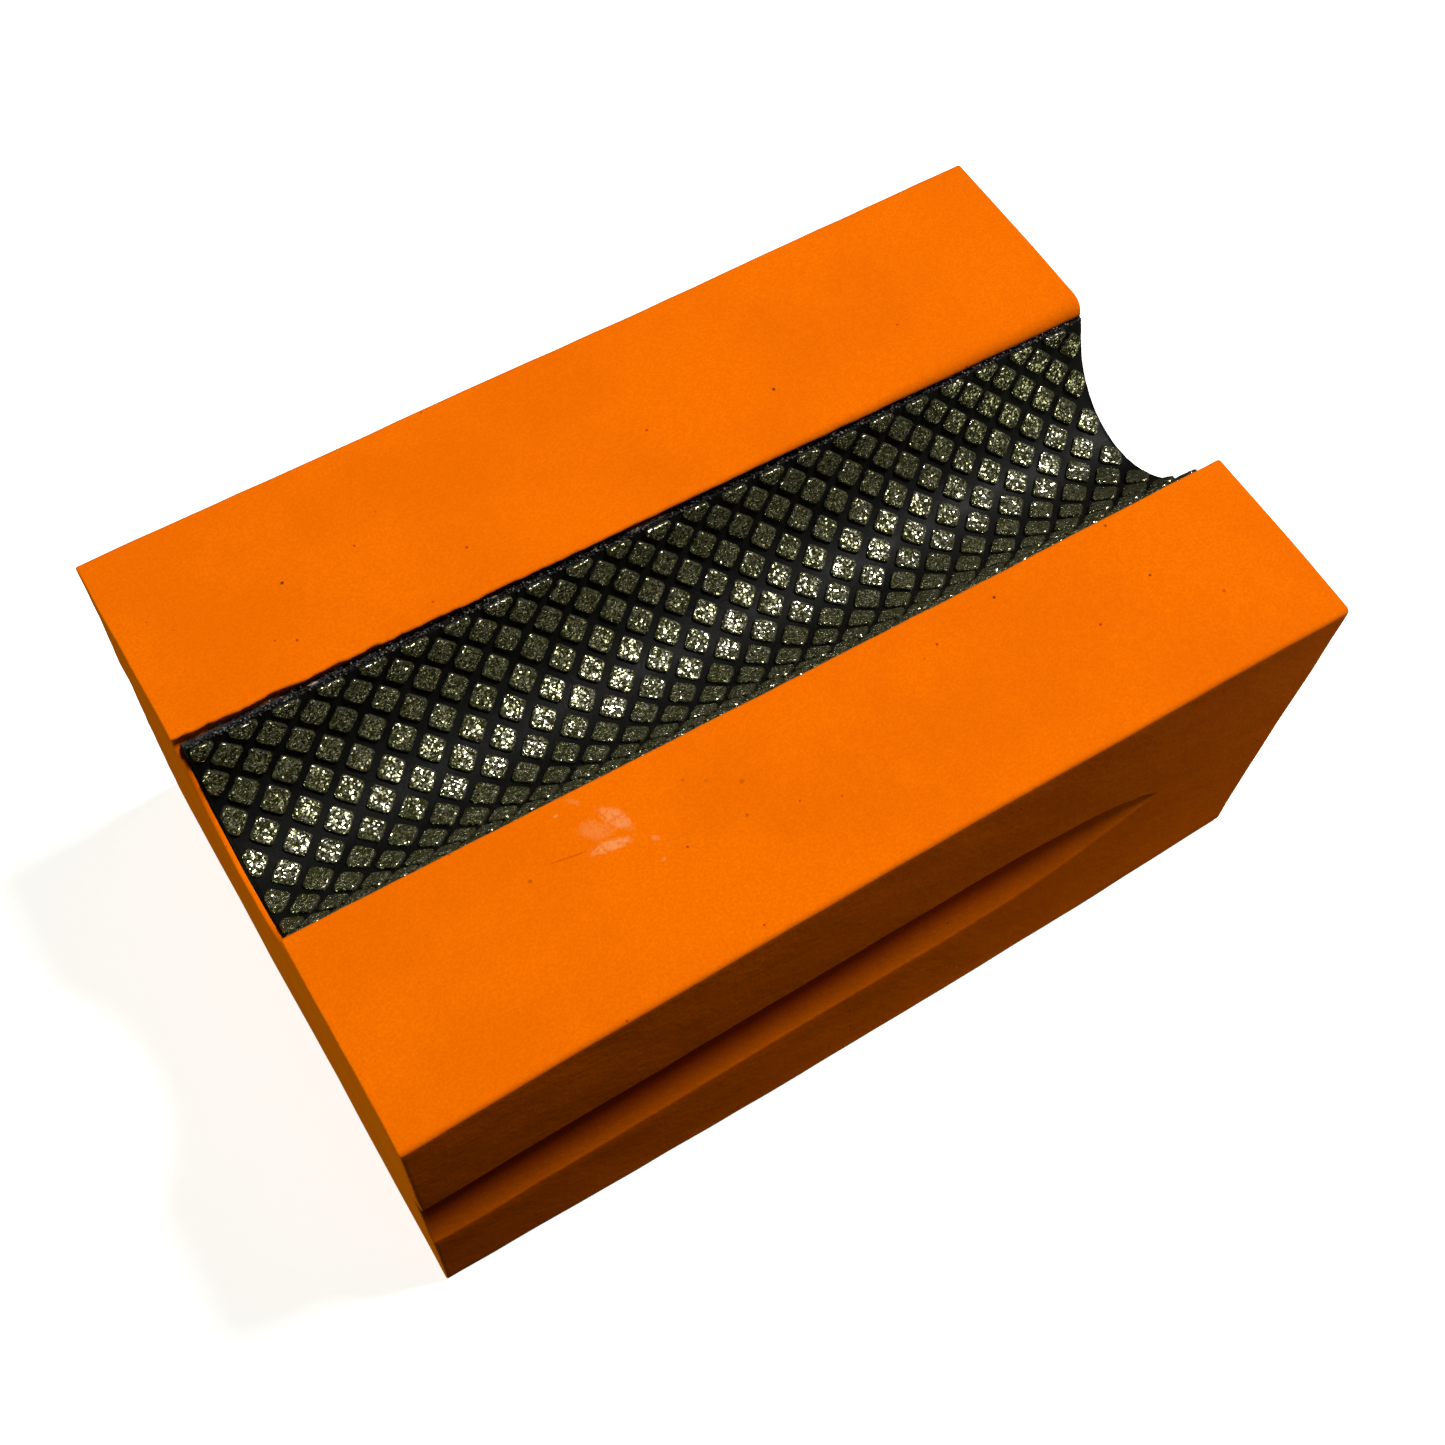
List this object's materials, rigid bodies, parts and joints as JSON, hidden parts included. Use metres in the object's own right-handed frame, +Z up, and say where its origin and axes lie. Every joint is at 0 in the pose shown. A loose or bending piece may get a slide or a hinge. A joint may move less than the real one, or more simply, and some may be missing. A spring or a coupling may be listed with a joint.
{
  "type": "bullnose diamond hand pad",
  "caption": "Orange foam hand block with a half-round channel lined by a dotted diamond abrasive sheet, for rounding stone edges.",
  "frame": {"origin": "middle of the block's flat base", "axes": "+X along the block and its channel, +Y from the front long side to the back one, +Z up with the channel's mouth at the top"},
  "size_m": [0.09, 0.0574, 0.0417],
  "materials": {
    "foam": "fine closed-cell EVA foam skin, matt with a faint sheen, saturated orange",
    "adhesive": "dried contact adhesive, glossy amber",
    "fleece": "black looped fleece with a fuzzy cut edge",
    "carrier": "black flexible resin with a low sheen",
    "diamond": "olive bonded diamond grit, rough with bright glinting grains"
  },
  "bodies": {
    "root": {"foam_block": "foam", "adhesive_film": "adhesive", "fleece_backing": "fleece", "carrier_sheet": "carrier", "diamond_dots": "diamond"}
  },
  "joints": []
}
